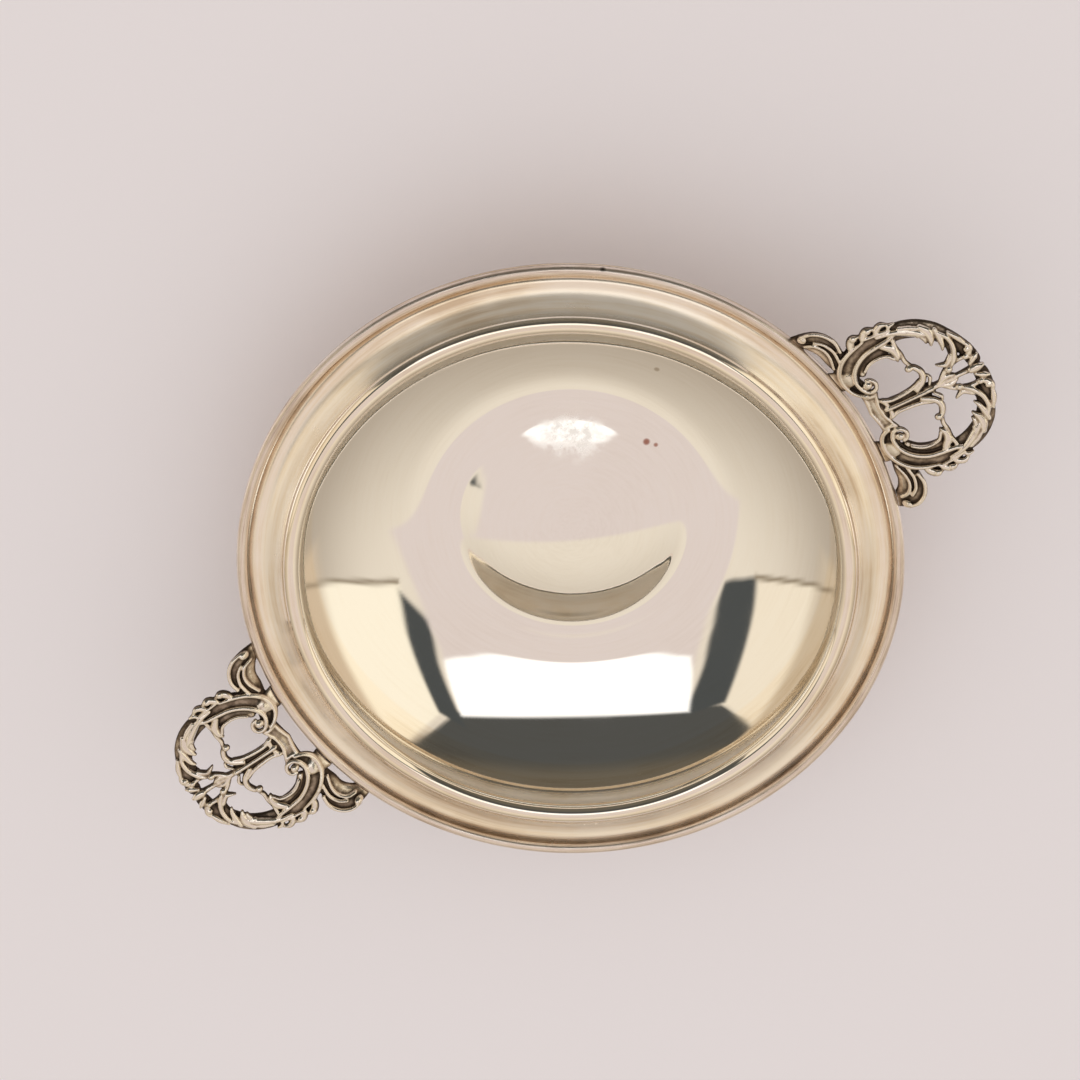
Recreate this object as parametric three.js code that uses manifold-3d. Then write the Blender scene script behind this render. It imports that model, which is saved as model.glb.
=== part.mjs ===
// A two-handled silver porringer: a bellied bowl with a domed boss, a drawn-in neck and a moulded rim,
// a wire soldered round its edge, and two pierced cast handles.
// Millimetres. +X runs along the handles and +Z is up. The origin is on the axis, where the bowl stands.

import * as THREE from 'three';
import { mergeVertices } from 'three/addons/utils/BufferGeometryUtils.js';
import Module from 'manifold-3d';

const wasm = await Module();
wasm.setup();

// Rim
const rimRadius = 76; // to the outside of the rim wire
const rimHeight = 28.9; // middle of the rim wire above the resting plane
const wireWidth = 2.4;
const wireHeight = 2.2;
const wireOverhang = 0.4; // how far the wire stands out past the sheet below it
const seatGap = 0.3; // between a piece and what carries it

// Moulding of the rim. It climbs from a shelf beside the wire, in a hollow curve, to a round bead
// that stands above the wire and rings the mouth of the bowl.
const shelfWidth = 1.9;
const shelfDrop = 0.5; // below the middle of the wire
const flangeWidth = 12.7; // from the outside of the wire to the middle of the bead
const beadRise = 4.3; // top of the bead above the middle of the wire
const beadRadius = 2.2;
const beadEnd = THREE.MathUtils.degToRad(22); // where the hollow curve meets the bead, above its widest
const climbSlope = THREE.MathUtils.degToRad(42); // of the hollow curve beside the bead

// Bowl
const wall = 1.1;
const floorThickness = 1.3; // where the floor meets the boss
const floorSlope = THREE.MathUtils.degToRad(1); // beside the boss
const turnReach = 19.3; // from the middle of the bead in to where the floor turns into the wall
const turnRise = 3.3; // above the floor beside the boss
const turnSlope = THREE.MathUtils.degToRad(24);
const bellyReach = 0.7; // from the middle of the bead out to the upper end of the wall's long curve
const bellyRise = 16.8; // above the floor beside the boss
const bellySlope = THREE.MathUtils.degToRad(50);
const neckSlope = THREE.MathUtils.degToRad(125); // the wall leans inwards where it meets the bead
const bossRadius = 27.5;
const bossRise = 5.2;
const landWidth = 5; // flat ring that the bowl stands on

// Handles, each cast in one piece and drawn on a square grid from the rim's edge outwards
const handleReach = 30; // from the rim's edge out to the handle's tip
const handleGrid = handleReach / 30; // one square of the grid that its strokes are drawn on
const castThickness = 2.4;
const handleRise = 3.4; // how far the casting climbs close to the rim
const riseLength = 3.8; // over about this distance
const handleSlope = 0.11; // and this steeply from there to its tip
const footReach = 6; // grid squares that the feet are made too long before the rim trims them

const bowlSides = 64;
const wireArcSteps = 3;
const sectionSteps = 3; // of half a stroke's outline

const silver = new THREE.MeshStandardMaterial({ color: 0xd8d0c4, metalness: 1, roughness: 0.12 });
const brushedSilver = new THREE.MeshStandardMaterial({ color: 0xcfc3b4, metalness: 1, roughness: 0.35 });
const castSilver = new THREE.MeshStandardMaterial({ color: 0xb7a78f, metalness: 1, roughness: 0.4 });

function solidOf(geometry) {
  const bare = geometry.clone();
  bare.deleteAttribute('normal');
  bare.deleteAttribute('uv');
  const merged = mergeVertices(bare, 1e-4);
  return new wasm.Manifold(new wasm.Mesh({
    numProp: 3,
    vertProperties: new Float32Array(merged.attributes.position.array),
    triVerts: new Uint32Array(merged.index.array),
  }));
}

function geometryOf(solid) {
  const mesh = solid.getMesh();
  const geometry = new THREE.BufferGeometry();
  geometry.setAttribute('position', new THREE.BufferAttribute(mesh.vertProperties, 3));
  geometry.setIndex(new THREE.BufferAttribute(mesh.triVerts, 1));
  geometry.computeVertexNormals();
  return geometry;
}

// Turns a profile of (radius, height) points about Z. The points run anticlockwise.
function turned(profile) {
  const geometry = new THREE.LatheGeometry(profile, bowlSides);
  geometry.rotateX(Math.PI / 2);
  return geometry;
}

// Bowl profile

const point = (radius, height) => new THREE.Vector2(radius, height);

function slopedCurve(start, startSlope, end, endSlope) {
  const reach = start.distanceTo(end) / 3;
  const leave = point(Math.cos(startSlope), Math.sin(startSlope)).multiplyScalar(reach);
  const arrive = point(Math.cos(endSlope), Math.sin(endSlope)).multiplyScalar(reach);
  return new THREE.CubicBezierCurve(start, start.clone().add(leave), end.clone().sub(arrive), end);
}

function bossPoints() {
  const curvature = (bossRadius ** 2 + bossRise ** 2) / (2 * bossRise);
  const centre = floorThickness + bossRise - curvature;
  const span = Math.asin(bossRadius / curvature);
  const cap = new THREE.EllipseCurve(0, centre, curvature, curvature, Math.PI / 2, Math.PI / 2 - span, true);
  return cap.getPoints(6);
}

function beadArc() {
  const middle = rimHeight + beadRise - beadRadius;
  const radius = rimRadius - flangeWidth;
  return new THREE.EllipseCurve(
    radius, middle, beadRadius, beadRadius, Math.PI / 2 + neckSlope, beadEnd, true,
  );
}

function insidePoints() {
  const boss = bossPoints();
  const beadCentre = rimRadius - flangeWidth;
  const turn = point(beadCentre - turnReach, floorThickness + turnRise);
  const belly = point(beadCentre + bellyReach, floorThickness + bellyRise);
  const floor = slopedCurve(boss.at(-1), floorSlope, turn, turnSlope).getPoints(4);
  const side = slopedCurve(turn, turnSlope, belly, bellySlope).getPoints(4);
  const neck = slopedCurve(belly, bellySlope, beadArc().getPoint(0), neckSlope).getPoints(4);
  return [...boss, ...floor.slice(1), ...side.slice(1), ...neck.slice(1)];
}

function climbPoints() {
  const shelfOuter = point(rimRadius - wireWidth - seatGap, rimHeight - shelfDrop);
  const shelfInner = point(shelfOuter.x - shelfWidth, shelfOuter.y);
  const climb = slopedCurve(beadArc().getPoint(1), -climbSlope, shelfInner, 0);
  return [...climb.getPoints(6), shelfOuter];
}

// Moves a polyline to its right by the distance given, with the corners kept sharp.
function offset(points, distance) {
  return points.map((here, i) => {
    const before = points[Math.max(i - 1, 0)];
    const after = points[Math.min(i + 1, points.length - 1)];
    const into = here.clone().sub(i > 0 ? before : here).normalize();
    const out = after.clone().sub(here).normalize();
    const along = into.clone().add(out).normalize();
    const turn = Math.max(along.dot(i > 0 ? into : out), 0.5);
    return point(here.x + (along.y * distance) / turn, here.y - (along.x * distance) / turn);
  });
}

function underPoints(inside, climb) {
  const wallTop = climb[0].y - 3 * wall;
  const under = offset(inside, wall).filter((p) => p.y < wallTop && p.x > 0);
  const landInner = bossRadius - landWidth / 2;
  const landOuter = bossRadius + landWidth / 2;
  return [
    point(0, inside[0].y - wall),
    ...under.filter((p) => p.x < landInner),
    point(landInner, 0),
    point(landOuter, 0),
    ...under.filter((p) => p.x > landOuter),
    ...offset(climb, wall).slice(0, -1),
  ];
}

function bowl() {
  const inside = insidePoints();
  const bead = beadArc().getPoints(6).slice(1, -1);
  const climb = climbPoints();
  const rebate = climb.at(-1);
  const seat = rimHeight - wireHeight / 2 - seatGap;
  const edge = rimRadius - wireOverhang;
  return turned([
    ...underPoints(inside, climb),
    point(rebate.x, seat - wall),
    point(edge, seat - wall),
    point(edge, seat),
    point(rebate.x, seat),
    ...[...inside, ...bead, ...climb].reverse(),
  ]);
}

// A wire with a flat foot and a round back
function rimWire() {
  const inner = rimRadius - wireWidth;
  const foot = rimHeight - wireHeight / 2;
  const corner = wireWidth / 2;
  const back = new THREE.EllipseCurve(
    inner + corner, rimHeight, corner, wireHeight / 2, -Math.PI / 2, Math.PI / 2,
  );
  const shoulder = new THREE.EllipseCurve(
    inner + corner, rimHeight, corner, wireHeight / 2, Math.PI / 2, Math.PI,
  );
  return turned([
    point(inner, foot),
    ...back.getPoints(2 * wireArcSteps),
    ...shoulder.getPoints(wireArcSteps).slice(1),
    point(inner, foot),
  ]);
}

// Handle. Every stroke is drawn flat as [across, along] and bent up from the rim afterwards.

function bent(geometry) {
  const position = geometry.attributes.position;
  for (let i = 0; i < position.count; i += 1) {
    const fromRim = Math.max(Math.hypot(position.getX(i), position.getY(i)) - rimRadius, 0);
    const climb = handleRise * (1 - Math.exp(-fromRim / riseLength)) + handleSlope * fromRim;
    position.setZ(i, position.getZ(i) + rimHeight + climb);
  }
  return geometry;
}

function place(across, along, side) {
  return new THREE.Vector3(rimRadius + along * handleGrid, side * across * handleGrid, 0);
}

function stroke(width, steps, points, side = 1) {
  const path = new THREE.CatmullRomCurve3(points.map(([across, along]) => place(across, along, side)));
  const section = new THREE.Shape();
  section.absellipse(0, 0, castThickness / 2, (width * handleGrid) / 2, 0, 2 * Math.PI);
  const geometry = new THREE.ExtrudeGeometry(section, {
    curveSegments: sectionSteps, steps, extrudePath: path, bevelEnabled: false,
  });
  return bent(geometry);
}

function bead(radius, across, along, side = 1) {
  const geometry = new THREE.SphereGeometry(radius * handleGrid, 7, 5);
  geometry.rotateX(Math.PI / 2);
  const centre = place(across, along, side);
  geometry.translate(centre.x, centre.y, 0);
  return bent(geometry);
}

function halfOfHandle(side) {
  const mainScroll = stroke(3.0, 18, [
    [4.2, 25.2], [7.6, 25.2], [10.9, 23.7], [13.6, 21.0], [15.4, 17.6], [16.2, 13.8], [16.1, 9.8],
    [14.9, 6.1], [12.7, 3.3], [10.0, 2.0], [7.2, 2.4], [5.9, 4.0], [6.0, 5.6],
  ], side);
  const channel = stroke(2.6, 7, [
    [10.2, 14.6], [12.6, 14.2], [14.1, 12.4], [14.0, 9.6], [12.6, 6.5], [10.1, 4.5], [6.8, 4.0],
  ], side);
  const leaf = stroke(3.0, 6, [[16.6, 6.2], [18.0, 8.8], [18.1, 12.2], [17.4, 15.8], [16.2, 18.6]], side);
  const upperLeaf = stroke(2.6, 7, [
    [16.2, 17.8], [14.4, 21.6], [11.4, 24.5], [8.0, 26.4], [4.8, 27.8], [1.6, 28.6],
  ], side);
  const leafDrop = stroke(2.2, 2, [[12.8, 21.4], [11.4, 22.0], [10.0, 22.2]], side);
  const hook = stroke(1.5, 3, [[3.9, 24.0], [3.9, 22.2], [4.5, 20.8]], side);
  const slotFrame = stroke(1.5, 5, [[0.9, 19.3], [1.6, 20.8], [3.0, 22.6], [3.8, 24.6], [3.2, 27.2]], side);
  const arm = stroke(2.0, 6, [[1.2, 8.0], [1.6, 11.8], [2.6, 15.2], [4.6, 16.8], [6.8, 15.9]], side);
  const bar = stroke(1.4, 4, [[6.6, 15.9], [8.8, 14.9], [11.5, 14.8], [14.6, 15.4]], side);
  const foot = stroke(5.6, 2, [[10.0, 2.4], [10.0, 0.5], [9.9, -footReach]], side);
  const ear = stroke(3.4, 8, [
    [12.4, 2.7], [16.4, 2.9], [19.6, 2.6], [22.1, 1.2], [23.2, -1.1], [23.0, -3.4], [22.4, -footReach],
  ], side);
  const beads = [
    bead(1.4, 18.8, 7.6, side),
    bead(1.5, 18.9, 10.8, side),
    bead(1.4, 18.6, 13.9, side),
    bead(1.2, 17.7, 16.7, side),
    bead(1.5, 7.4, 5.4, side),
    bead(1.2, 6.9, 15.2, side),
    bead(1.3, 3.0, 28.4, side),
  ];
  return [
    mainScroll, channel, leaf, upperLeaf, leafDrop, hook, slotFrame, arm, bar, foot, ear, ...beads,
  ];
}

function handle() {
  const middle = [
    stroke(3.5, 4, [[-5.6, 4.0], [0, 4.2], [5.6, 4.0]]),
    stroke(3.4, 3, [[0, 4.6], [0, 10.0], [0, 16.8]]),
    stroke(2.2, 2, [[0, 15.6], [0, 18.0], [0, 21.4]]),
    stroke(1.8, 2, [[0, 20.6], [0, 24.0], [0, 27.4]]),
    bead(1.9, 0, 28.0),
  ];
  const strokes = [...middle, ...halfOfHandle(1), ...halfOfHandle(-1)];
  const casting = strokes.map(solidOf).reduce((joined, piece) => joined.add(piece));
  const clearance = rimRadius + seatGap;
  const bore = new THREE.CylinderGeometry(clearance, clearance, 2 * rimHeight, 2 * bowlSides);
  bore.rotateX(Math.PI / 2);
  bore.translate(0, 0, rimHeight);
  return geometryOf(casting.subtract(solidOf(bore)));
}

const porringer = new THREE.Group();

function add(name, geometry, material, turn = 0) {
  const mesh = new THREE.Mesh(geometry, material);
  mesh.name = name;
  mesh.rotation.z = turn;
  porringer.add(mesh);
}

const casting = handle();
add('bowl', bowl(), silver);
add('rim_wire', rimWire(), brushedSilver);
add('handle_right', casting, castSilver.clone());
add('handle_left', casting.clone(), castSilver.clone(), Math.PI);

export default porringer;
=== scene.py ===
"""Looks of a two-handled silver porringer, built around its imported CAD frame. Metres, +Z up."""

import math

import bpy
import numpy as np
from mathutils import Matrix, Vector


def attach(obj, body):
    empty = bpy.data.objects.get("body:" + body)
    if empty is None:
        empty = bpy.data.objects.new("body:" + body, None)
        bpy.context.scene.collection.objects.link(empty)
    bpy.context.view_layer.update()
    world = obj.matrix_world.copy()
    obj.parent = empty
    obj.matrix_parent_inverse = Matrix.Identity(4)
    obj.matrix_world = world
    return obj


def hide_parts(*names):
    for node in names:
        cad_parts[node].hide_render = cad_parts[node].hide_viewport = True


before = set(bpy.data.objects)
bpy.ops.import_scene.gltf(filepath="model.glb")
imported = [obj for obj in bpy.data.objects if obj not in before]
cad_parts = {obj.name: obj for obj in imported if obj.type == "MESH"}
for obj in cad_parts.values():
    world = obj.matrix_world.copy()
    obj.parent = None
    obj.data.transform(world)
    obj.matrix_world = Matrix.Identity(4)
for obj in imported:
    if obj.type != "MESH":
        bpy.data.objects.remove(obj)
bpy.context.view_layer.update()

MM = 0.001

# Sizes in millimetres and slopes in degrees, as in the CAD source
RIM_RADIUS = 76.0  # to the outside of the rim wire
RIM_HEIGHT = 28.9  # middle of the rim wire above the resting plane
WIRE_WIDTH = 2.4
WIRE_HEIGHT = 2.2
WIRE_OVERHANG = 0.4  # how far the wire stands out past the sheet below it
SEAT_GAP = 0.3  # between a piece and what carries it
SHELF_WIDTH = 1.9  # the flat beside the wire
SHELF_DROP = 0.5  # of that flat, below the middle of the wire
FLANGE_WIDTH = 12.7  # from the outside of the wire to the middle of the bead
BEAD_RISE = 4.3  # top of the bead above the middle of the wire
BEAD_RADIUS = 2.2
BEAD_END = 22  # where the hollow curve of the flange meets the bead, above its widest line
CLIMB_SLOPE = 42  # of the hollow curve beside the bead
NECK_SLOPE = 125  # the wall leans inwards where it meets the bead
WALL = 1.1
FLOOR_THICKNESS = 1.3
BOSS_RADIUS = 27.5
LAND_WIDTH = 5.0  # flat ring that the bowl stands on
HANDLE_RISE = 3.4  # how far the casting climbs close to the rim
RISE_LENGTH = 3.8  # over about this distance
HANDLE_SLOPE = 0.11  # and this steeply from there to its tip

# Sizes and slopes of this finer bowl alone
BOSS_RISE = 5.1  # the CAD source has 5.2
BOSS_SLOPES = [  # radius, slope
    (0, 0), (12, -9.5), (20, -15.2), (24, -17.2), (26.3, -16), (27.8, -8), (28.7, -1), (29.2, 0.3),
]
FLOOR_SLOPES = [  # from the valley round the boss out to the belly
    (29.2, 0.3), (33.2, 1), (35.2, 9.5), (38.3, 18.5), (44, 24), (49, 27.3), (53, 31), (58, 37),
    (61, 41.5), (64, 50),
]
LAND_BEVEL = 0.5
LAND_MARGIN = 0.6  # the curved underside ends this far from the land
UPPER_BEVEL = 0.2
LOWER_BEVEL = (0.4, 0.3)
BOWL_SIDES = 360
BEAD_POINTS = 40
NECK_POINTS = 50
CLIMB_POINTS = 28
WIRE_POINTS = 41

BEAD_CENTRE = (RIM_RADIUS - FLANGE_WIDTH, RIM_HEIGHT + BEAD_RISE - BEAD_RADIUS)
REBATE_RADIUS = RIM_RADIUS - WIRE_WIDTH - SEAT_GAP
EDGE_RADIUS = RIM_RADIUS - WIRE_OVERHANG
SKIRT_ROOM = 3 * WALL  # the wall's underside ends this far below the end of the bead
SAME_POINT = 1e-4
TINY = 1e-9


# Geometry helpers

def new_mesh(name, verts, faces, material, smooth=True):
    mesh = bpy.data.meshes.new(name)
    mesh.from_pydata([tuple(v) for v in verts], [], [tuple(f) for f in faces])
    mesh.validate()
    mesh.materials.append(material)
    if smooth:
        mesh.shade_smooth()
    obj = bpy.data.objects.new(name, mesh)
    bpy.context.scene.collection.objects.link(obj)
    return obj


def arc(centre, radius, start, end, count):
    """Points on a circle from one angle to another, in degrees."""
    angle = np.radians(np.linspace(start, end, count))
    return np.stack([centre[0] + radius * np.cos(angle), centre[1] + radius * np.sin(angle)], 1)


def bezier(start, start_slope, end, end_slope, count):
    """Points from start to end that leave and arrive at the slopes given, in degrees."""
    start, end = np.array(start, float), np.array(end, float)
    leaving, arriving = math.radians(start_slope), math.radians(end_slope)
    reach = np.linalg.norm(end - start) / 3
    near = start + reach * np.array([math.cos(leaving), math.sin(leaving)])
    far = end - reach * np.array([math.cos(arriving), math.sin(arriving)])
    t = np.linspace(0, 1, count)[:, None]
    return (1 - t) ** 3 * start + 3 * (1 - t) ** 2 * t * near + 3 * (1 - t) * t * t * far + t ** 3 * end


def from_slopes(start, knots, step=0.25):
    """A curve from start whose slope goes smoothly through the (radius, slope) knots."""
    radii = np.arange(start[0], knots[-1][0] + TINY, step)
    at, slope = np.array(knots, float).T
    tangent = np.gradient(slope, at)
    i = np.clip(np.searchsorted(at, radii, side="right") - 1, 0, len(at) - 2)
    width = at[i + 1] - at[i]
    t = (radii - at[i]) / width
    before = (2 * t ** 3 - 3 * t ** 2 + 1) * slope[i] + (t ** 3 - 2 * t ** 2 + t) * width * tangent[i]
    after = (3 * t ** 2 - 2 * t ** 3) * slope[i + 1] + (t ** 3 - t ** 2) * width * tangent[i + 1]
    angle = before + after
    rise = np.tan(np.radians((angle[1:] + angle[:-1]) / 2)) * np.diff(radii)
    return np.stack([radii, start[1] + np.concatenate([[0], np.cumsum(rise)])], 1)


def chain(*parts):
    """Joins runs of points, without the point that two of them share."""
    points = [parts[0]]
    for part in parts[1:]:
        same = np.linalg.norm(points[-1][-1] - part[0]) < SAME_POINT
        points.append(part[1:] if same else part)
    return np.concatenate(points)


def offset(points, distance):
    """The polyline moved to its right."""
    along = np.gradient(points, axis=0)
    along /= np.linalg.norm(along, axis=1)[:, None]
    return points + distance * np.stack([along[:, 1], -along[:, 0]], 1)


def ramp(value, low, high):
    """Rises smoothly from 0 at low to 1 at high."""
    t = np.clip((value - low) / (high - low), 0, 1)
    return t * t * (3 - 2 * t)


def turned(name, profile, sides, material):
    """Turns a profile of (radius, height) points, in millimetres, about Z.

    The profile runs anticlockwise. It is closed, or starts and ends on the axis."""
    profile = np.array(profile) * MM
    angle = np.arange(sides) * 2 * math.pi / sides
    verts, rings = [], []
    for radius, height in profile:
        if radius < TINY:
            rings.append([len(verts)])
            verts.append((0, 0, height))
        else:
            rings.append(list(range(len(verts), len(verts) + sides)))
            verts.extend(zip(radius * np.cos(angle), radius * np.sin(angle), [height] * sides))
    faces = []
    closed = profile[0][0] > TINY
    count = len(rings)
    for i in range(count if closed else count - 1):
        a, b = rings[i], rings[(i + 1) % count]
        for j in range(sides):
            k = (j + 1) % sides
            if len(a) == 1:
                faces.append((a[0], b[k], b[j]))
            elif len(b) == 1:
                faces.append((a[j], a[k], b[0]))
            else:
                faces.append((a[j], a[k], b[k], b[j]))
    return new_mesh(name, verts, faces, material)


def dress(piece, node):
    """Lets the piece stand for the CAD node."""
    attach(piece, "root")
    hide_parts(node)


# Material helpers

class Material:
    """A node material with a Principled shader, and short ways to add nodes to it."""

    def __init__(self, name, colour, metallic, roughness):
        self.material = bpy.data.materials.new(name)
        self.material.use_nodes = True
        self.tree = self.material.node_tree
        self.shader = self.tree.nodes["Principled BSDF"]
        self.shader.inputs["Base Color"].default_value = (*colour, 1)
        self.shader.inputs["Metallic"].default_value = metallic
        self.shader.inputs["Roughness"].default_value = roughness

    def add(self, kind, **values):
        node = self.tree.nodes.new(kind)
        for key, value in values.items():
            setattr(node, key, value)
        return node

    def link(self, source, target):
        self.tree.links.new(source, target)

    def drive(self, socket, source):
        """Links source to a socket of the shader."""
        self.link(source, self.shader.inputs[socket])

    def maths(self, operation, *values):
        node = self.add("ShaderNodeMath", operation=operation)
        for value, socket in zip(values, node.inputs):
            if hasattr(value, "links"):
                self.link(value, socket)
            else:
                socket.default_value = value
        return node.outputs[0]

    def weighted(self, a, share_of_a, b, share_of_b):
        part = self.maths("MULTIPLY", b, share_of_b)
        return self.maths("MULTIPLY_ADD", a, share_of_a, part)

    def noise(self, where, scale, detail=3, rough=0.5):
        node = self.add("ShaderNodeTexNoise")
        node.inputs["Scale"].default_value = scale
        node.inputs["Detail"].default_value = detail
        node.inputs["Roughness"].default_value = rough
        self.link(where, node.inputs["Vector"])
        return node.outputs["Fac"]

    def steps(self, value, stops, unit=1.0):
        """A function of value that runs straight between (value, result) stops.

        The stops' values are in the unit given, and the results are numbers or colours."""
        node = self.add("ShaderNodeValToRGB")
        low, high = stops[0][0], stops[-1][0]
        span = (high - low) * unit
        self.link(self.maths("MULTIPLY_ADD", value, 1 / span, -low * unit / span), node.inputs["Fac"])
        elements = node.color_ramp.elements
        elements.remove(elements[1])
        for i, (at, result) in enumerate(stops):
            element = elements[0] if i == 0 else elements.new((at - low) / (high - low))
            element.color = (*result, 1) if isinstance(result, tuple) else (result, result, result, 1)
        return node.outputs["Color"]

    def place(self):
        """The object position, its x, y and z, and the distance from the bowl's axis, in metres."""
        where = self.add("ShaderNodeTexCoord").outputs["Object"]
        parts = self.add("ShaderNodeSeparateXYZ")
        self.link(where, parts.inputs[0])
        x, y, z = parts.outputs
        square = self.maths("MULTIPLY_ADD", x, x, self.maths("MULTIPLY", y, y))
        return where, (x, y, z), self.maths("SQRT", square)

    def round_grain(self, xyz, radius, around, across):
        """Noise drawn out round the bowl's axis."""
        turn = self.maths("ARCTAN2", xyz[1], xyz[0])
        vector = self.add("ShaderNodeCombineXYZ")
        self.link(self.maths("MULTIPLY", self.maths("COSINE", turn), around), vector.inputs[0])
        self.link(self.maths("MULTIPLY", self.maths("SINE", turn), around), vector.inputs[1])
        self.link(self.maths("MULTIPLY", radius, across), vector.inputs[2])
        return self.noise(vector.outputs[0], scale=1.0, detail=4, rough=0.6)

    def near(self, where, centre, stops):
        """A function of the distance from a place, both in millimetres."""
        gap = self.add("ShaderNodeVectorMath", operation="DISTANCE")
        self.link(where, gap.inputs[0])
        gap.inputs[1].default_value = [v * MM for v in centre]
        return self.steps(gap.outputs["Value"], stops, unit=MM)

    def spot(self, where, colour, centre, size, spotted):
        """Lays a small soft spot over the colour given, round a place in millimetres."""
        mix = self.add("ShaderNodeMix", data_type="RGBA")
        share = self.near(where, centre, [(0, 1.0), (0.55 * size, 0.9), (size, 0.0)])
        self.link(share, mix.inputs["Factor"])
        self.link(colour, mix.inputs["A"])
        mix.inputs["B"].default_value = (*spotted, 1)
        return mix.outputs["Result"]

    def bump(self, height, strength, distance):
        node = self.add("ShaderNodeBump")
        node.inputs["Strength"].default_value = strength
        node.inputs["Distance"].default_value = distance
        self.link(height, node.inputs["Height"])
        self.drive("Normal", node.outputs["Normal"])


# Bowl

def bead_profile():
    return arc(BEAD_CENTRE, BEAD_RADIUS, 90 + NECK_SLOPE, BEAD_END, BEAD_POINTS)


def inside_profile():
    """From the axis out over the boss, through the valley round it, to the belly, the neck and the bead."""
    boss = from_slopes((0, FLOOR_THICKNESS + BOSS_RISE), BOSS_SLOPES)
    dish = from_slopes(boss[-1], FLOOR_SLOPES)
    brink = bead_profile()
    neck = bezier(dish[-1], FLOOR_SLOPES[-1][1], brink[0], NECK_SLOPE, NECK_POINTS)
    return chain(boss, dish, neck, brink)


def climb_profile():
    """From the bead down the hollow curve of the flange to the shelf beside the wire."""
    shelf_height = RIM_HEIGHT - SHELF_DROP
    shelf = np.array([(REBATE_RADIUS - SHELF_WIDTH, shelf_height), (REBATE_RADIUS, shelf_height)])
    return chain(bezier(bead_profile()[-1], -CLIMB_SLOPE, shelf[0], 0, CLIMB_POINTS), shelf)


def bowl_profile():
    inside, climb = inside_profile(), climb_profile()
    land_inner, land_outer = BOSS_RADIUS - LAND_WIDTH / 2, BOSS_RADIUS + LAND_WIDTH / 2
    under = offset(inside[:1 - BEAD_POINTS], WALL)
    under = under[under[:, 1] < climb[0, 1] - SKIRT_ROOM]
    inner = under[under[:, 0] < land_inner - LAND_MARGIN]
    outer = under[under[:, 0] > land_outer + LAND_MARGIN]
    inner[0, 0] = 0
    land = np.array([(land_inner, 0.0), (land_inner + LAND_BEVEL, 0.0),
                     (land_outer - LAND_BEVEL, 0.0), (land_outer, 0.0)])
    seat = RIM_HEIGHT - WIRE_HEIGHT / 2 - SEAT_GAP
    foot = seat - WALL
    edge = np.array([
        (REBATE_RADIUS, foot), (EDGE_RADIUS - LOWER_BEVEL[0], foot), (EDGE_RADIUS, foot + LOWER_BEVEL[1]),
        (EDGE_RADIUS, seat - UPPER_BEVEL), (EDGE_RADIUS - UPPER_BEVEL, seat), (REBATE_RADIUS, seat),
    ])
    skirt = offset(climb, WALL)[:-1]
    return np.concatenate([inner, land, outer, skirt, edge, chain(inside, climb)[::-1]])


# The bowl's finish, by the distance from its axis in millimetres
BOWL_TINT = [
    (0, (0.96, 0.935, 0.89)), (60, (0.955, 0.925, 0.87)), (60.5, (0.96, 0.90, 0.80)),
    (66, (0.96, 0.87, 0.74)), (73.5, (0.93, 0.82, 0.68)), (76, (0.80, 0.69, 0.57)),
]
BOWL_TARNISH = [(0, 0.10), (60, 0.12), (63, 0.5), (66, 0.9), (76, 0.9)]
BOWL_METAL = [(0, 1.0), (64.5, 1.0), (66.8, 0.58), (71.5, 0.58), (73.5, 0.85), (76, 0.85)]
BOWL_ROUGHNESS = [
    (0, 0.035), (26, 0.03), (27.5, 0.06), (29, 0.03), (60.5, 0.03), (61.5, 0.05), (64.5, 0.09),
    (66.8, 0.26), (71, 0.24), (72.8, 0.15), (76, 0.15),
]
TARNISH_COLOUR = [(0.38, (0.74, 0.64, 0.51)), (0.48, (0.94, 0.89, 0.81)), (0.57, (1.0, 1.0, 1.0))]

# The neck is satin, so that the boss mirrors no hard line: by height and by distance from the axis
NECK_HEIGHTS = [(0, 0.0), (19.5, 0.0), (22.5, 1.0), (29.8, 1.0), (30.4, 0.0), (34, 0.0)]
NECK_RADII = [(0, 0.0), (60.6, 0.0), (61.1, 1.0), (65.8, 1.0), (66.2, 0.0), (76, 0.0)]
NECK_METAL_LOSS = 0.72
NECK_ROUGHNESS = 0.4

# Spots of colour on the bowl and on the lip: a place and a radius in millimetres, and a colour
BOWL_SPOTS = [
    ((-26.0, -8.1, 1.6), 1.0, (0.40, 0.18, 0.13)),
    ((-27.4, -6.2, 1.6), 0.7, (0.45, 0.24, 0.18)),
    ((-38.5, -24.0, 5.2), 0.8, (0.60, 0.54, 0.45)),
]
NICK = ((-46.6, -60.1, 30.0), 1.0, (0.05, 0.035, 0.03))
SCUFF_PLACE = (-13.2, -20.0, 4.0)
SCUFF_REACH = [(0, 1.0), (4, 0.95), (11, 0.0)]


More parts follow.
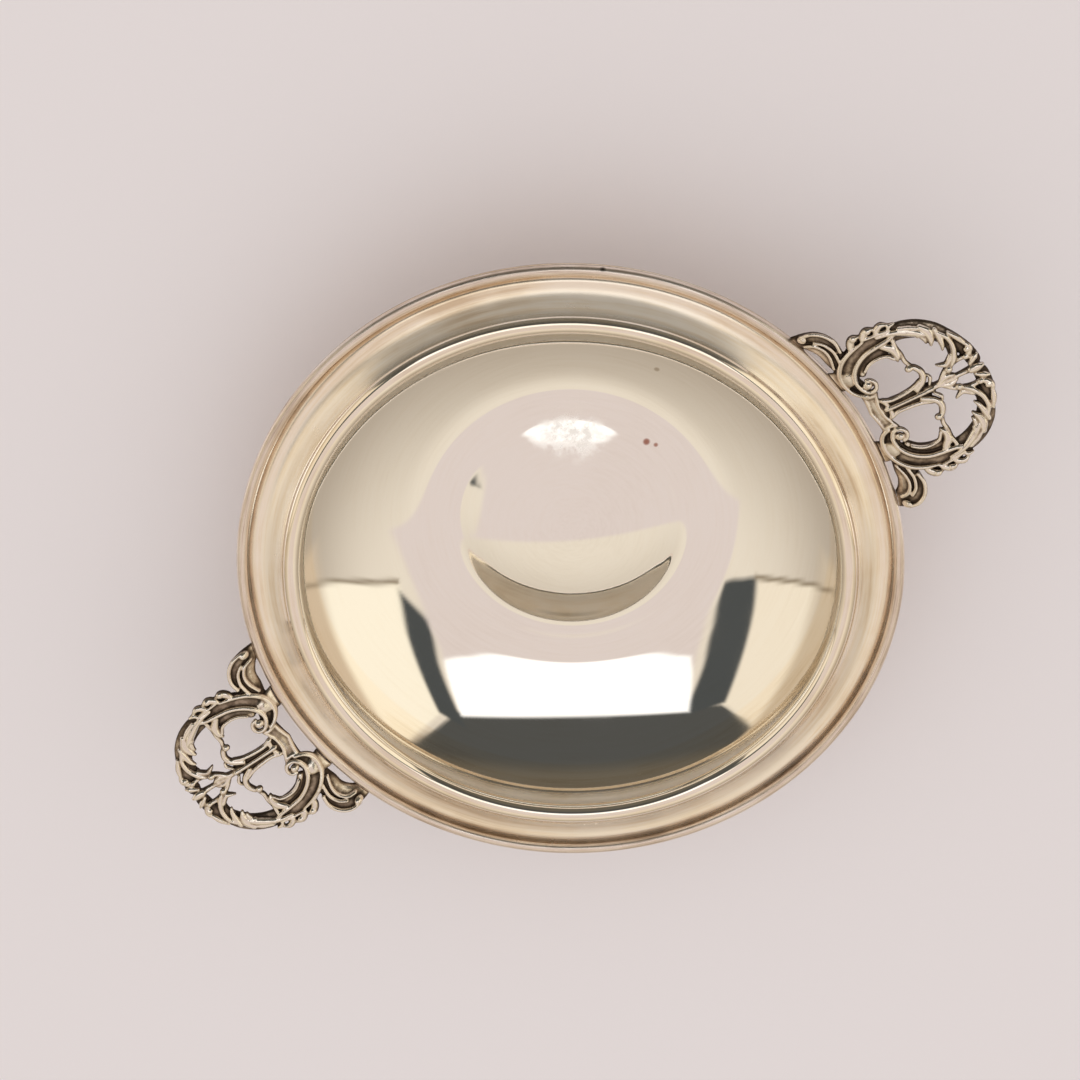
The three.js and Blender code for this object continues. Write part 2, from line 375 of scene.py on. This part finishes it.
def polished_silver():
    made = Material("polished_silver", (0.95, 0.92, 0.87), 1, 0.05)
    where, xyz, radius = made.place()
    streaks = made.round_grain(xyz, radius, around=3.0, across=1300)

    tarnish = made.weighted(made.noise(where, scale=26, detail=4, rough=0.6), 0.55, streaks, 0.45)
    warm = made.add("ShaderNodeMix", data_type="RGBA", blend_type="MULTIPLY")
    made.link(made.steps(radius, BOWL_TARNISH, unit=MM), warm.inputs["Factor"])
    made.link(made.steps(radius, BOWL_TINT, unit=MM), warm.inputs["A"])
    made.link(made.steps(tarnish, TARNISH_COLOUR), warm.inputs["B"])
    colour = warm.outputs["Result"]
    for centre, size, spotted in BOWL_SPOTS:
        colour = made.spot(where, colour, centre, size, spotted)
    made.drive("Base Color", colour)

    neck = made.maths("MULTIPLY", made.steps(xyz[2], NECK_HEIGHTS, unit=MM),
                      made.steps(radius, NECK_RADII, unit=MM))
    metal = made.steps(radius, BOWL_METAL, unit=MM)
    made.drive("Metallic", made.maths("MULTIPLY_ADD", neck, -NECK_METAL_LOSS, metal))

    smudges = made.steps(made.noise(where, scale=60, detail=5, rough=0.65), [(0.5, 0.0), (0.72, 0.03)])
    scratches = made.steps(made.noise(where, scale=260, detail=4, rough=0.7), [(0.42, 0.05), (0.6, 0.34)])
    wear = made.maths("MULTIPLY_ADD", made.near(where, SCUFF_PLACE, SCUFF_REACH), scratches, smudges)
    roughness = made.maths("ADD", made.steps(radius, BOWL_ROUGHNESS, unit=MM), wear)
    made.drive("Roughness", made.maths("MULTIPLY_ADD", neck, NECK_ROUGHNESS, roughness))

    waves = made.maths("MULTIPLY_ADD", streaks, 0.04, made.noise(where, scale=14, detail=2))
    made.bump(waves, strength=0.03, distance=0.0002)
    return made.material


def make_bowl():
    bowl = turned("bowl_body", bowl_profile(), BOWL_SIDES, polished_silver())
    dress(bowl, "bowl")


make_bowl()


# Rim wire

def wire_profile():
    """A wire with a flat foot and a round back."""
    inner, foot = RIM_RADIUS - WIRE_WIDTH, RIM_HEIGHT - WIRE_HEIGHT / 2
    across, up = arc((0, 0), 1, -90, 180, WIRE_POINTS).T
    back = np.stack([inner + WIRE_WIDTH / 2 * (1 + across), RIM_HEIGHT + WIRE_HEIGHT / 2 * up], 1)
    return np.concatenate([[(inner, foot)], back])


def lip_silver():
    made = Material("lip_silver", (0.86, 0.76, 0.66), 1, 0.28)
    where, xyz, radius = made.place()
    streaks = made.round_grain(xyz, radius, around=7.0, across=5200)
    mottle = made.weighted(streaks, 0.6, made.noise(where, scale=45, detail=4, rough=0.6), 0.4)
    colours = [(0.34, (0.50, 0.40, 0.32)), (0.46, (0.78, 0.67, 0.57)), (0.6, (0.90, 0.82, 0.74))]
    made.drive("Base Color", made.spot(where, made.steps(mottle, colours), *NICK))
    made.drive("Roughness", made.steps(streaks, [(0.35, 0.42), (0.65, 0.24)]))
    made.bump(streaks, strength=0.35, distance=0.00008)
    return made.material


def make_rim_wire():
    wire = turned("rim_wire_body", wire_profile(), BOWL_SIDES, lip_silver())
    dress(wire, "rim_wire")


make_rim_wire()


# Handles

# Each is a casting of scrolls and leaves, drawn flat as tapered strokes, which are bent up as the CAD casting
# is, fused and softened. A point of a stroke is (s, d, width) in millimetres: s across the handle, and d out
# from the rim's edge. One half is drawn, and the other half mirrors it.

PLATES = [  # broad and low: what the relief stands on
    [(4.0, 24.4, 1.8), (7.0, 25.3, 2.6), (10.0, 24.5, 3.4), (12.8, 21.9, 3.4), (14.8, 18.2, 3.6),
     (15.9, 14.2, 4.8), (15.7, 10.0, 6.0), (14.3, 6.4, 5.6), (11.9, 3.6, 4.8), (9.2, 2.6, 4.2),
     (6.8, 3.6, 3.2)],
    [(13.0, 1.5, 2.6), (15.5, 1.3, 3.4), (18.0, 0.9, 3.4), (20.2, -0.4, 3.2), (21.8, -2.4, 2.8),
     (22.2, -4.0, 2.6)],
    [(12.6, 2.3, 2.8), (16.2, 2.9, 3.4), (19.8, 2.7, 3.6), (22.2, 1.2, 3.4), (23.1, -1.2, 3.0),
     (22.9, -3.9, 2.8)],
    [(16.8, 16.6, 2.0), (16.1, 19.0, 2.4), (14.7, 21.5, 2.8), (12.5, 23.9, 3.0), (10.0, 25.5, 3.0),
     (7.4, 26.7, 3.2), (4.5, 27.6, 3.4), (1.8, 27.9, 3.4)],
    [(13.0, 13.2, 2.2), (12.8, 10.0, 2.2), (11.8, 7.4, 2.2), (9.9, 5.6, 1.8)],
]
CRESTS = [  # narrow and high: the bright lines
    [(16.4, 18.0, 0.7), (15.2, 14.8, 1.1), (14.8, 11.5, 1.2), (14.3, 8.6, 1.2), (13.0, 6.1, 1.2),
     (11.2, 4.3, 1.2), (9.0, 3.4, 1.1), (6.9, 3.6, 1.1), (5.5, 4.8, 1.1), (5.6, 6.4, 1.1),
     (6.9, 7.1, 1.0), (8.1, 6.6, 0.9), (8.5, 5.6, 0.8)],
    [(17.2, 9.4, 0.7), (16.2, 5.8, 1.1), (14.7, 3.2, 1.2), (12.4, 1.3, 1.2), (9.9, 0.5, 1.2),
     (7.4, 0.9, 1.1), (5.7, 2.1, 1.0), (4.8, 3.8, 0.9)],
    [(3.1, 23.4, 1.0), (4.4, 24.6, 1.4), (6.9, 25.7, 1.3), (9.4, 25.6, 1.1), (11.2, 24.6, 0.8)],
    [(12.4, 21.8, 1.0), (13.7, 20.3, 1.9), (15.2, 18.0, 1.8), (16.3, 15.4, 1.2), (16.7, 12.6, 0.8)],
    [(14.0, 21.8, 0.7), (15.4, 19.9, 1.0), (16.4, 17.6, 0.8)],
    [(10.3, 13.5, 0.8), (11.7, 12.4, 0.9), (12.1, 10.2, 0.9), (11.7, 8.2, 0.9), (10.5, 6.4, 0.8)],
    [(17.3, 4.2, 0.9), (19.9, 4.3, 1.0), (22.4, 3.1, 1.0), (24.0, 0.9, 1.0), (24.2, -1.6, 0.9)],
    [(13.8, 0.8, 0.7), (16.8, 1.5, 0.8), (19.2, 1.2, 0.8), (21.0, -0.2, 0.9), (21.5, -2.0, 0.9)],
    [(17.6, 10.2, 0.7), (17.4, 13.0, 0.9), (17.0, 15.8, 0.7)],
    [(14.6, 2.6, 0.6), (16.2, 2.9, 0.9), (18.2, 2.9, 0.9), (20.4, 2.0, 0.9), (21.8, 0.4, 0.8)],
]
LEAVES = [  # lobes that overlap along the outside, and the cut leaves inside the openings
    [(16.6, 6.2, 1.0), (17.9, 6.9, 1.9), (18.9, 8.0, 1.9), (18.9, 9.3, 0.8)],
    [(17.2, 9.4, 0.9), (18.3, 10.1, 1.7), (19.2, 11.4, 1.8), (19.0, 12.9, 0.8)],
    [(17.3, 12.6, 0.8), (18.3, 13.4, 1.6), (18.9, 14.7, 1.5), (18.4, 16.1, 0.6)],
    [(17.0, 15.4, 0.7), (17.8, 16.2, 1.2), (17.9, 17.4, 0.6)],
    [(14.4, 21.8, 1.4), (12.4, 22.6, 2.4), (10.8, 22.5, 1.8), (9.4, 21.9, 0.8)],
    [(12.6, 20.9, 1.2), (11.4, 21.3, 1.2), (10.4, 21.2, 0.6)],
    [(14.2, 12.6, 1.6), (12.6, 14.1, 2.2), (10.8, 14.4, 1.6), (9.6, 13.9, 0.8)],
    [(12.4, 24.2, 1.0), (10.2, 24.2, 1.6), (8.2, 23.9, 1.2), (7.2, 23.4, 0.6)],
    [(5.2, 24.2, 1.2), (3.8, 22.6, 1.5), (4.1, 21.4, 1.1), (4.6, 20.5, 0.6)],
    [(6.2, 28.2, 1.0), (8.2, 27.5, 1.5), (10.4, 26.3, 0.8)],
    [(3.9, 27.9, 1.6), (5.2, 28.6, 1.5), (6.8, 28.2, 0.7)],
    [(1.2, 17.0, 0.7), (2.5, 17.9, 0.9), (3.5, 17.8, 0.5)],
    [(1.4, 26.8, 0.9), (2.3, 28.2, 1.5), (2.9, 29.2, 0.7)],
]
STEM = [  # the sides of the stem and its arms, the bars at its root, and the feet
    [(1.2, 14.0, 1.4), (2.6, 16.1, 1.6), (4.4, 16.9, 1.6), (6.1, 16.3, 1.5), (7.0, 15.4, 1.1)],
    [(6.8, 15.8, 0.9), (8.6, 15.1, 1.1), (10.6, 15.2, 1.1), (12.4, 15.0, 1.1), (14.6, 15.2, 1.2)],
    [(2.2, 6.1, 1.3), (1.6, 8.0, 1.2), (1.7, 11.0, 1.2), (2.1, 13.6, 1.2), (2.9, 15.6, 1.2)],
    [(0.3, 18.8, 1.0), (0.9, 20.4, 1.3), (1.0, 21.6, 1.2), (0.7, 22.6, 0.8)],
    [(0.8, 19.4, 0.9), (2.0, 20.9, 1.2), (2.7, 22.2, 1.4), (3.3, 24.0, 1.2), (3.5, 26.0, 1.2),
     (3.0, 27.6, 1.2)],
    [(5.2, 2.9, 1.0), (3.2, 2.9, 1.0), (1.4, 2.6, 0.9), (0.0, 2.3, 0.8)],
    [(4.9, 6.0, 0.9), (3.4, 5.4, 0.9), (1.6, 4.8, 0.9), (0.0, 4.7, 0.8)],
    [(4.4, 3.2, 1.2), (4.2, 4.6, 1.2), (4.4, 5.8, 1.0)],
    [(2.2, 6.2, 1.2), (1.0, 6.6, 1.2), (0.0, 6.6, 1.0)],
    [(9.9, 2.2, 4.0), (9.9, 0.6, 5.2), (9.9, -1.6, 6.0)],
]
MIDDLE = [  # strokes over the middle line, drawn whole, each with its lift and greatest thickness
    ([(0, 4.3, 3.6), (0, 7.5, 4.2), (0, 11.0, 4.0), (0, 14.0, 4.2), (0, 16.6, 3.0)], -0.3, 1.6),
    ([(-5.0, 4.1, 3.0), (0.0, 4.1, 3.6), (5.0, 4.1, 3.0)], -0.2, 1.8),
    ([(0, 6.0, 1.2), (0, 9.0, 1.0), (0, 13.0, 1.0), (0, 17.0, 1.2)], 0.7, 1.5),
    ([(0, 15.8, 2.4), (0, 18.2, 1.7), (0, 20.0, 2.2), (0, 22.0, 2.4)], 0.0, 2.0),
    ([(0, 21.6, 1.4), (0, 24.2, 1.3), (0, 27.0, 1.8)], 0.1, 1.8),
    ([(0, 26.4, 1.8), (0, 28.0, 2.0), (0, 29.1, 1.0)], 0.7, 1.8),
]
BEADS = [  # (s, d, radius)
    (7.2, 5.3, 1.0), (6.7, 15.0, 0.85), (23.4, -1.7, 1.0), (18.9, 8.1, 0.9), (19.0, 11.6, 0.8),
    (2.4, 22.3, 0.8), (4.9, 28.0, 0.8), (3.4, 26.9, 0.7), (12.9, 20.6, 0.7),
]
RELIEF = [  # strokes, lift of their middle above the casting's middle plane, greatest thickness
    (PLATES, -0.3, 1.7),
    (CRESTS, 0.75, 1.7),
    (LEAVES, 0.55, 1.7),
    (STEM, 0.35, 1.9),
]
BEAD_LIFT = 0.8
BEAD_STRETCH = 0.1  # either way from its middle
THICKNESS_SHARE = 0.9  # a narrow stroke is this share of its width thick, and LEAST_THICKNESS more
LEAST_THICKNESS = 0.5
STROKE_EDGES = 16
BEAD_EDGES = 14
STEPS_PER_POINT = 7
CAP_ANGLES = np.radians([90, 60, 30])
SMALLEST_RING = 0.02  # share of a stroke's width that its last ring keeps
VOXEL = 0.16
TRIM_CLEARANCE = 0.05
TRIM_HEIGHT = 60
TRIM_SIDES = 720


def bent(points):
    """Adds the climb of the casting to heights that are measured from its middle plane."""
    out = np.maximum(np.hypot(points[:, 0], points[:, 1]) - RIM_RADIUS, 0)
    points[:, 2] += RIM_HEIGHT + HANDLE_RISE * (1 - np.exp(-out / RISE_LENGTH)) + HANDLE_SLOPE * out
    return points


def spline(values, count):
    """A Catmull-Rom curve through the rows of values."""
    p = np.array(values, float)
    p = np.concatenate([[2 * p[0] - p[1]], p, [2 * p[-1] - p[-2]]])
    u = np.linspace(0, len(p) - 3 - TINY, count)
    i = u.astype(int)
    t = (u - i)[:, None]
    a, b, c, e = p[i], p[i + 1], p[i + 2], p[i + 3]
    square, cube = 2 * a - 5 * b + 4 * c - e, 3 * b - a - 3 * c + e
    return 0.5 * (2 * b + (c - a) * t + square * t ** 2 + cube * t ** 3)


def stroke(points, lift, thick, edges=STROKE_EDGES):
    """A closed tapered tube through (s, d, width) points, with round ends."""
    line = spline(points, STEPS_PER_POINT * len(points))
    along = np.gradient(line[:, :2], axis=0)
    along /= np.linalg.norm(along, axis=1)[:, None] + 1e-12
    stations = [(0, -math.sin(a), math.cos(a)) for a in CAP_ANGLES]
    stations += [(i, 0, 1) for i in range(len(line))]
    stations += [(-1, math.sin(a), math.cos(a)) for a in CAP_ANGLES[::-1]]
    angle = np.arange(edges) * 2 * math.pi / edges
    verts = []
    for i, beyond, scale in stations:
        way, width = along[i], line[i, 2]
        s, d = line[i, :2] + way * width / 2 * beyond
        scale = max(scale, SMALLEST_RING)
        depth = min(thick, THICKNESS_SHARE * width + LEAST_THICKNESS) / 2 * scale
        across = width / 2 * scale * np.cos(angle)
        ring = [RIM_RADIUS + d + across * way[0], s - across * way[1], lift + depth * np.sin(angle)]
        verts.append(np.stack(ring, 1))
    rings = len(verts)
    faces = [tuple(range(edges)), tuple((rings - 1) * edges + k for k in range(edges))[::-1]]
    for i in range(rings - 1):
        for k in range(edges):
            m = (k + 1) % edges
            faces.append((i * edges + k, (i + 1) * edges + k, (i + 1) * edges + m, i * edges + m))
    return bent(np.concatenate(verts)), faces


def bead(s, d, radius):
    ends = [(s, d - BEAD_STRETCH, 2 * radius), (s, d + BEAD_STRETCH, 2 * radius)]
    return stroke(ends, BEAD_LIFT, 2 * radius, BEAD_EDGES)


def handle_strokes():
    parts = [stroke(points, lift, thick) for points, lift, thick in MIDDLE]
    for side in (1, -1):
        for rows, lift, thick in RELIEF:
            parts += [stroke([(side * s, d, w) for s, d, w in row], lift, thick) for row in rows]
        parts += [bead(side * s, d, radius) for s, d, radius in BEADS]
    return parts


def joined(name, parts, material):
    """One mesh of all the parts, whose points are in millimetres."""
    verts, faces = [], []
    base = 0
    for points, rows in parts:
        verts.append(points * MM)
        faces += [tuple(base + i for i in row) for row in rows]
        base += len(points)
    return new_mesh(name, np.concatenate(verts), faces, material)


def apply_modifiers(obj):
    graph = bpy.context.evaluated_depsgraph_get()
    mesh = bpy.data.meshes.new_from_object(obj.evaluated_get(graph))
    obj.modifiers.clear()
    obj.data = mesh
    mesh.shade_smooth()


def fuse_and_soften(obj):
    fuse = obj.modifiers.new("fuse", "REMESH")
    fuse.mode = "VOXEL"
    fuse.voxel_size = VOXEL * MM
    soften = obj.modifiers.new("soften", "SMOOTH")
    soften.factor = 0.5
    soften.iterations = 3
    apply_modifiers(obj)


def trim_at_rim(obj):
    """Cuts off what lies within the rim wire."""
    clear = RIM_RADIUS + TRIM_CLEARANCE
    outline = [(0, 0), (clear, 0), (clear, TRIM_HEIGHT), (0, TRIM_HEIGHT)]
    trimmer = turned("trimmer", outline, TRIM_SIDES, obj.data.materials[0])
    trim = obj.modifiers.new("trim", "BOOLEAN")
    trim.operation = "DIFFERENCE"
    trim.solver = "MANIFOLD"
    trim.object = trimmer
    apply_modifiers(obj)
    bpy.data.objects.remove(trimmer)


# The relief is measured on a grid over the casting, in millimetres
GRID_START = (70, -27)
GRID_CELL = 0.2
GRID_SHAPE = (200, 270)
EMPTY = -9.0
WIDE_BLUR = 4.0  # cells
NEAR_BLUR = 1.6  # cells
NEAR_SHARE = 0.6  # what a place gains for each millimetre below its near neighbours, as painted shade in narrow grooves
RELIEF_DEPTH = 0.8
DEPTH_START = 0.1  # a place this far above the relief round it is bare of oxide and of painted shade
BACK_RECESS = 0.38  # for the plain back
BACK_DEPTHS = (0.2, 0.9)  # below the casting's middle plane, where the back takes over


def blurred(grid, sigma):
    """A Gaussian blur along both axes."""
    reach = int(3 * sigma)
    kernel = np.exp(-0.5 * (np.arange(-reach, reach + 1) / sigma) ** 2)
    kernel /= kernel.sum()
    for axis in (0, 1):
        grid = np.apply_along_axis(lambda row: np.convolve(row, kernel, mode="same"), axis, grid)
    return grid


def mark_recesses(mesh):
    """Stores how far each vertex lies below the relief round it: 0 on the crests, 1 in the recesses, where
    the colour darkens for oxide and for painted shade.
    """
    places = np.zeros(len(mesh.vertices) * 3, np.float32)
    mesh.vertices.foreach_get("co", places)
    places = places.reshape(-1, 3).astype(float) / MM
    middle = places.copy()
    middle[:, 2] = 0
    height = places[:, 2] - bent(middle)[:, 2]
    i = ((places[:, 0] - GRID_START[0]) / GRID_CELL).astype(int)
    j = ((places[:, 1] - GRID_START[1]) / GRID_CELL).astype(int)
    top = np.full(GRID_SHAPE, EMPTY)
    np.maximum.at(top, (i, j), height)
    filled = top > EMPTY

    def level(sigma):
        share = np.maximum(blurred(filled.astype(float), sigma), 1e-3)
        return (blurred(np.where(filled, top, 0), sigma) / share)[i, j]

    below = (level(WIDE_BLUR) - height + DEPTH_START) / RELIEF_DEPTH
    depth = np.clip(below + NEAR_SHARE * np.maximum(level(NEAR_BLUR) - height, 0), 0, 1)
    depth += (BACK_RECESS - depth) * ramp(-height, *BACK_DEPTHS)
    attribute = mesh.attributes.new("recess", "FLOAT", "POINT")
    attribute.data.foreach_set("value", depth.astype(np.float32))


def cast_silver():
    made = Material("cast_silver", (0.72, 0.65, 0.55), 1, 0.3)
    recess = made.add("ShaderNodeAttribute", attribute_name="recess").outputs["Fac"]
    where = made.add("ShaderNodeTexCoord").outputs["Object"]
    grain = made.noise(where, scale=900, detail=4)
    speckle = made.maths("MULTIPLY_ADD", grain, 0.4, -0.2)
    patches = made.maths("MULTIPLY_ADD", made.noise(where, scale=190, rough=0.6), 0.9, -0.42)
    oxide_and_shade = made.maths("ADD", recess, made.maths("ADD", speckle, patches))
    # Darker down into the relief: the oxide the casting has in its hollows, and painted shade in the narrow
    # grooves and on the sides of the relief
    made.drive("Base Color", made.steps(oxide_and_shade, [
        (0.16, (0.86, 0.79, 0.69)), (0.36, (0.50, 0.41, 0.315)),
        (0.58, (0.215, 0.165, 0.12)), (0.85, (0.075, 0.055, 0.04)),
    ]))
    made.drive("Roughness", made.steps(oxide_and_shade, [(0.2, 0.16), (0.9, 0.5)]))
    made.bump(grain, strength=0.25, distance=0.0001)
    return made.material


def make_handles():
    right = joined("handle_right_casting", handle_strokes(), cast_silver())
    fuse_and_soften(right)
    trim_at_rim(right)
    mark_recesses(right.data)
    left = bpy.data.objects.new("handle_left_casting", right.data.copy())
    left.data.transform(Matrix.Rotation(math.pi, 4, "Z"))
    bpy.context.scene.collection.objects.link(left)
    dress(right, "handle_right")
    dress(left, "handle_left")


make_handles()


# Floor

FLOOR_REACH = 60  # metres, so that its edge lies low even in level views


def make_floor():
    paper = Material("paper_floor", (0.83, 0.775, 0.775), 0, 0.9)
    paper.shader.inputs["Specular IOR Level"].default_value = 0.1
    corners = [(-1, -1), (1, -1), (1, 1), (-1, 1)]
    verts = [(x * FLOOR_REACH, y * FLOOR_REACH, 0) for x, y in corners]
    new_mesh("floor", verts, [(0, 1, 2, 3)], paper.material, smooth=False)


make_floor()


# Surroundings

# They are soft areas for the silver to mirror, and only mirrored rays see them: a pale ceiling, cream panels
# at both sides, a bright window on the camera's side and a dim room, as in a tabletop studio.

HANDLE_TURN = math.radians(-33.5)  # of the camera and its surroundings about the bowl's axis
DOME_RADIUS = 2.0  # metres
DOME_RINGS = 160
DOME_SIDES = 320
LOW_WALLS = (0.47, 0.40, 0.325)
HIGH_WALLS = (0.84, 0.755, 0.64)
WALL_TILTS = (82, 38)  # degrees from straight up, where the one turns into the other

# Each area has a convex outline, in degrees from straight up: first right in the picture, then towards the
# camera. It also has the width of its soft edge, in degrees, and a colour. A later area covers an earlier.
ROOM = [
    # The dim room, and its upper part
    ([(-90, 36), (-42, 20), (28, 24), (62, 50), (62, 95), (-90, 95)], 0.8, (0.085, 0.085, 0.08)),
    ([(-90, 58), (-62, 46), (62, 54), (62, 95), (-90, 95)], 8, (0.14, 0.125, 0.10)),
    # The left panel and the right panel, and what lies beyond each
    ([(-41, 19), (-66, 33), (-86, 24), (-86, -30), (-40, -18)], 0.8, (0.92, 0.82, 0.67)),
    ([(-66, 40), (-62, -34), (-95, -34), (-95, 40)], 4, (0.62, 0.52, 0.40)),
    ([(34, 25), (60, 46), (84, 26), (84, -28), (37, -14)], 0.8, (1.04, 0.95, 0.78)),
    ([(68, 48), (64, -34), (95, -34), (95, 48)], 4, (0.66, 0.54, 0.41)),
    # Dark gaps beside the panels
    ([(-43, 19), (-30.5, 24), (-32.5, -15), (-40.5, -18.5)], 0.8, (0.075, 0.08, 0.08)),
    ([(28, 31), (35, 25), (37.5, -12), (31, -3)], 0.8, (0.075, 0.08, 0.08)),
    # The ceiling and the window
    ([(-29, 8), (28.5, 8), (37.5, -28), (-33.5, -36.5)], 1.0, (0.76, 0.665, 0.63)),
    ([(-32, 22.5), (28, 26), (28.5, 7.5), (-28, 5.5)], 0.8, (1.3, 1.28, 1.26)),
    # A thin dark line along the left panel, low windows at both sides, and a line along the right panel
    ([(-40, -17.6), (-40, -19), (-84, -29.4), (-84, -28)], 0.5, (0.30, 0.24, 0.17)),
    ([(-83, 62), (-83, -50), (-99, -50), (-99, 62)], 1.5, (1.7, 1.66, 1.56)),
    ([(83, 62), (83, -50), (99, -50), (99, 62)], 1.5, (1.7, 1.66, 1.56)),
    ([(37, -13.4), (37, -14.8), (84, -28.2), (84, -26.8)], 0.5, (0.30, 0.24, 0.17)),
]


def within(outline, x, y, soft):
    """How far inside a convex outline each place is: 0 outside, 1 inside, with a soft edge."""
    outline = np.array(outline, float)
    middle = outline.mean(0)
    least = np.full(x.shape, np.inf)
    for a, b in zip(outline, np.roll(outline, -1, 0)):
        normal = np.array([a[1] - b[1], b[0] - a[0]]) / np.hypot(*(b - a))
        if (middle - a) @ normal < 0:
            normal = -normal
        least = np.minimum(least, (x - a[0]) * normal[0] + (y - a[1]) * normal[1])
    return ramp(least, -soft, soft)


def room_colour(directions):
    """Linear colour in each direction of the camera's frame: x right in the picture, y away, z up."""
    dx, dy, dz = directions.T
    tilt = np.degrees(np.arccos(np.clip(dz, -1, 1)))
    flat = np.maximum(np.hypot(dx, dy), TINY)
    x, y = tilt * dx / flat, -tilt * dy / flat
    colour = np.tile(np.array(LOW_WALLS), (len(x), 1))

    def paint(mask, value):
        colour[:] += (np.array(value) - colour) * mask[:, None]

    paint(ramp(-tilt, -WALL_TILTS[0], -WALL_TILTS[1]), HIGH_WALLS)
    for outline, soft, value in ROOM:
        paint(within(outline, x, y, soft), value)
    return colour


def glow():
    """A material that shines in the colour stored as the attribute "seen"."""
    made = bpy.data.materials.new("surroundings")
    made.use_nodes = True
    tree = made.node_tree
    tree.nodes.remove(tree.nodes["Principled BSDF"])
    light = tree.nodes.new("ShaderNodeEmission")
    colour = tree.nodes.new("ShaderNodeAttribute")
    colour.attribute_name = "seen"
    tree.links.new(colour.outputs["Color"], light.inputs["Color"])
    tree.links.new(light.outputs[0], tree.nodes["Material Output"].inputs["Surface"])
    return made


def make_surroundings():
    """A half dome, painted with the room."""
    tilt = np.linspace(0, math.pi / 2, DOME_RINGS + 1)
    turn = np.arange(DOME_SIDES) * 2 * math.pi / DOME_SIDES
    t, a = np.meshgrid(tilt[1:], turn, indexing="ij")
    rings = np.stack([np.sin(t) * np.cos(a), np.sin(t) * np.sin(a), np.cos(t)], 2).reshape(-1, 3)
    directions = np.concatenate([[(0, 0, 1)], rings])
    faces = [(0, 1 + (j + 1) % DOME_SIDES, 1 + j) for j in range(DOME_SIDES)]
    for i in range(DOME_RINGS - 1):
        upper = 1 + i * DOME_SIDES
        lower = upper + DOME_SIDES
        for j in range(DOME_SIDES):
            k = (j + 1) % DOME_SIDES
            faces.append((upper + j, upper + k, lower + k, lower + j))
    dome = new_mesh("surroundings", directions * DOME_RADIUS, faces, glow())
    to_camera = np.array(Matrix.Rotation(-HANDLE_TURN, 3, "Z"))
    seen_from_camera = directions @ to_camera.T * np.array([-1, 1, 1])
    colours = np.concatenate([room_colour(seen_from_camera), np.ones((len(directions), 1))], 1)
    seen = dome.data.color_attributes.new("seen", "FLOAT_COLOR", "POINT")
    seen.data.foreach_set("color", colours.astype(np.float32).ravel())
    dome.visible_camera = False
    dome.visible_diffuse = False
    dome.visible_shadow = False


def make_world():
    world = bpy.data.worlds.new("studio")
    bpy.context.scene.world = world
    world.use_nodes = True
    background = world.node_tree.nodes["Background"]
    background.inputs["Color"].default_value = (1, 0.97, 0.95, 1)
    background.inputs["Strength"].default_value = 0.9


make_surroundings()
make_world()


# Camera

# Directions of its picture and its place, fitted to the photograph, before the turn about the bowl's axis
CAMERA_RIGHT = Vector((-0.99971, -0.01330, -0.02001))
CAMERA_DOWN = Vector((-0.02112, 0.88378, 0.46743))
CAMERA_AHEAD = Vector((0.01147, 0.46772, -0.88380))
CAMERA_PLACE = Vector((0.0, -3.83489, 7.02094))  # from the middle of the rim, in rim radii
FOCAL_LENGTH = 2667.86  # pixels
PICTURE_WIDTH = 1080  # pixels
SENSOR_WIDTH = 36


def make_camera():
    turn = Matrix.Rotation(HANDLE_TURN, 3, "Z")
    axes = Matrix([turn @ v for v in (CAMERA_RIGHT, -CAMERA_DOWN, -CAMERA_AHEAD)]).transposed()
    place = turn @ CAMERA_PLACE * RIM_RADIUS * MM + Vector((0, 0, RIM_HEIGHT * MM))
    camera = bpy.data.objects.new("camera", bpy.data.cameras.new("camera"))
    camera.data.sensor_width = SENSOR_WIDTH
    camera.data.lens = SENSOR_WIDTH * FOCAL_LENGTH / PICTURE_WIDTH
    camera.matrix_world = Matrix.Translation(place) @ axes.to_4x4()
    bpy.context.scene.collection.objects.link(camera)
    bpy.context.scene.camera = camera


make_camera()
bpy.context.scene.view_settings.view_transform = "Standard"
